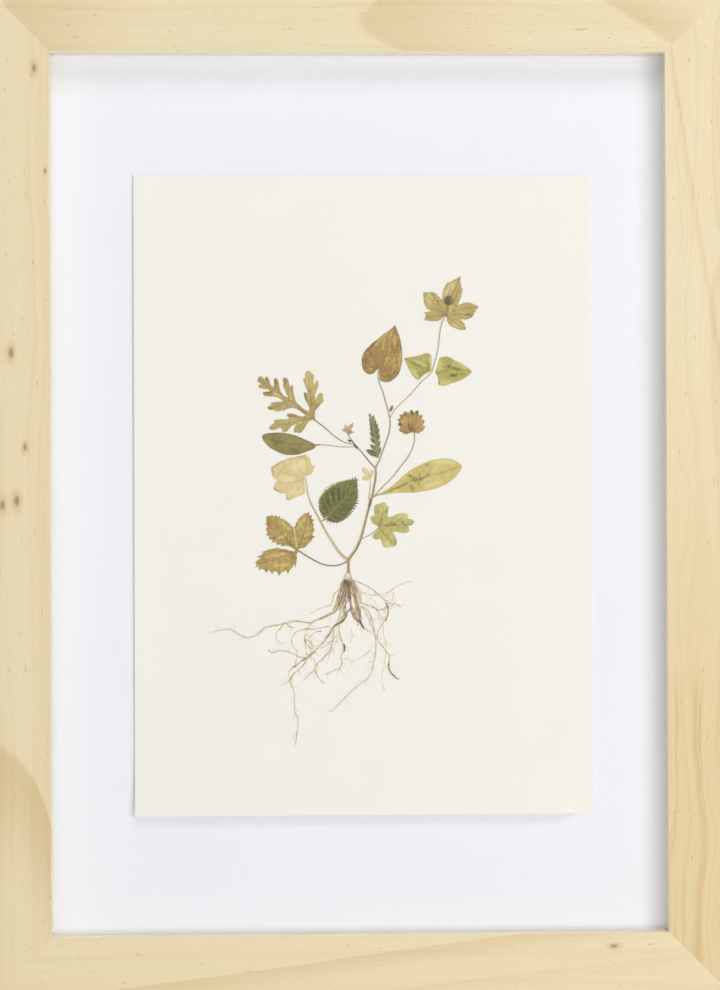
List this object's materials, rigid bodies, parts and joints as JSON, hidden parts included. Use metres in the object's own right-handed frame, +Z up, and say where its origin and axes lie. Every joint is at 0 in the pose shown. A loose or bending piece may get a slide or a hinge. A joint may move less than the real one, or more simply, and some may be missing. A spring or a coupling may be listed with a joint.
{
  "type": "pressed flower frame",
  "caption": "Mitred pine box frame that hangs on a wall; behind its glass, a cream sheet with a pressed rooted plant of several leaf shapes.",
  "frame": {"origin": "on the wall, where the nail that carries the hanger's middle notch goes in", "axes": "+X to the viewer's right, +Y into the wall, +Z up; the glass faces -Y"},
  "size_m": [0.339, 0.025, 0.462],
  "materials": {
    "pine": "clear matt pine, fine straight grain with small knots",
    "glass": "clear flat glass",
    "mount_board": "matt white board",
    "sheet_paper": "cream uncoated paper",
    "fibreboard": "brown fibreboard",
    "steel": "zinc plated",
    "root": "dry brown root",
    "stem": "dry tan stem",
    "pale_stem": "dry pale stem",
    "dark_twig": "dry dark twig",
    "golden_leaf": "dry golden-brown leaf",
    "yellow_green_leaf": "dry yellow-green leaf",
    "petal": "dry ochre petal",
    "seed": "dry brown seed head",
    "ochre_leaf": "dry ochre leaf",
    "olive_leaf": "dry olive leaf",
    "pale_leaf": "dry beige leaf",
    "light_leaf": "dry light yellow-green leaf",
    "dark_leaf": "dry dark green leaf"
  },
  "bodies": {
    "root": {"rail_top": "pine", "rail_bottom": "pine", "rail_left": "pine", "rail_right": "pine", "glass_pane": "glass", "mount_board": "mount_board", "backing_board": "fibreboard", "float_pad": "mount_board", "sheet": "sheet_paper", "spacer_top": "pine", "spacer_bottom": "pine", "spacer_right": "pine", "spacer_left": "pine", "retaining_tab_left_upper": "steel", "retaining_tab_left_lower": "steel", "retaining_tab_right_upper": "steel", "retaining_tab_right_lower": "steel", "retaining_tab_top": "steel", "retaining_tab_bottom": "steel", "hanger": "steel", "root_crown": "root", "root_long_left": "root", "root_lower_left": "root", "root_right_loop": "root", "root_right": "root", "root_right_outer": "root", "root_right_side": "root", "root_middle": "root", "root_second_left": "root", "main_stem": "stem", "upper_stem": "stem", "pair_branch": "stem", "flower_stalk": "pale_stem", "clover_stalk": "stem", "left_twig": "dark_twig", "star_stalk": "dark_twig", "divided_petiole": "stem", "oval_petiole": "pale_stem", "left_branch": "pale_stem", "strawberry_petiole": "dark_twig", "small_leaf_stalk": "stem", "oak_petiole": "stem", "heart_leaf": "golden_leaf", "pair_leaf_left": "yellow_green_leaf", "pair_leaf_right": "yellow_green_leaf", "top_flower": "petal", "seed_disc": "seed", "divided_leaf": "ochre_leaf", "oval_leaf": "olive_leaf", "ivy_leaf": "pale_leaf", "small_leaf": "pale_leaf", "spoon_leaf": "light_leaf", "oak_leaf": "light_leaf", "star_leaf": "golden_leaf", "upper_bud": "seed", "twig_bud": "seed", "bramble_leaf": "dark_leaf", "strawberry_leaf": "ochre_leaf", "fern_leaf": "olive_leaf", "clover_head": "golden_leaf"}
  },
  "joints": []
}
